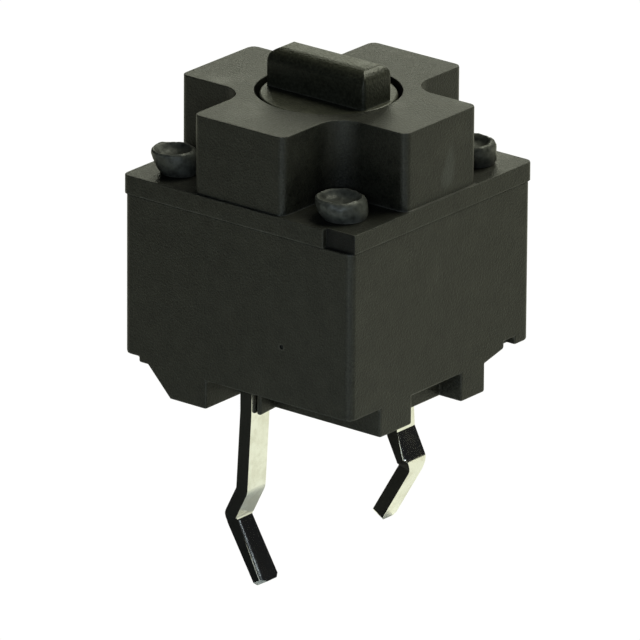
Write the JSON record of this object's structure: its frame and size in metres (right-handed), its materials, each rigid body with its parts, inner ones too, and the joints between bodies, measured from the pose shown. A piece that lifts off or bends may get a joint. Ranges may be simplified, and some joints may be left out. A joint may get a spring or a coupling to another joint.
{
  "type": "tactile push button switch",
  "caption": "Square black through-hole tactile push button switch with a cross-shaped tower, a bar key on a round button and kinked snap-in terminals.",
  "frame": {"origin": "centre of the switch on the plane of its feet, which is the board's top face", "axes": "+Z out of the board towards the button, X along the key's long side, Y from the front terminal to the rear one"},
  "size_m": [0.006, 0.006, 0.0109],
  "materials": {
    "case_plastic": "fine matt moulded, black with an olive cast",
    "cover_plastic": "fine matt moulded, black with an olive cast",
    "plunger_plastic": "fine matt moulded, deeper black",
    "spring_steel": "bright rolled",
    "plated_brass": "bright silver-coloured plating on stamped strip"
  },
  "bodies": {
    "housing": {"case": "case_plastic", "cover": "cover_plastic", "snap_dome": "spring_steel", "front_terminal": "plated_brass", "rear_terminal": "plated_brass"},
    "button": {"plunger": "plunger_plastic"}
  },
  "joints": [
    {"name": "button_press", "type": "slide", "parent": "housing", "child": "button", "axis": [0, 0, -1], "range_m": [0, 0.0003], "stiffness_N_per_m": 2500, "deforming": ["snap_dome"]}
  ]
}
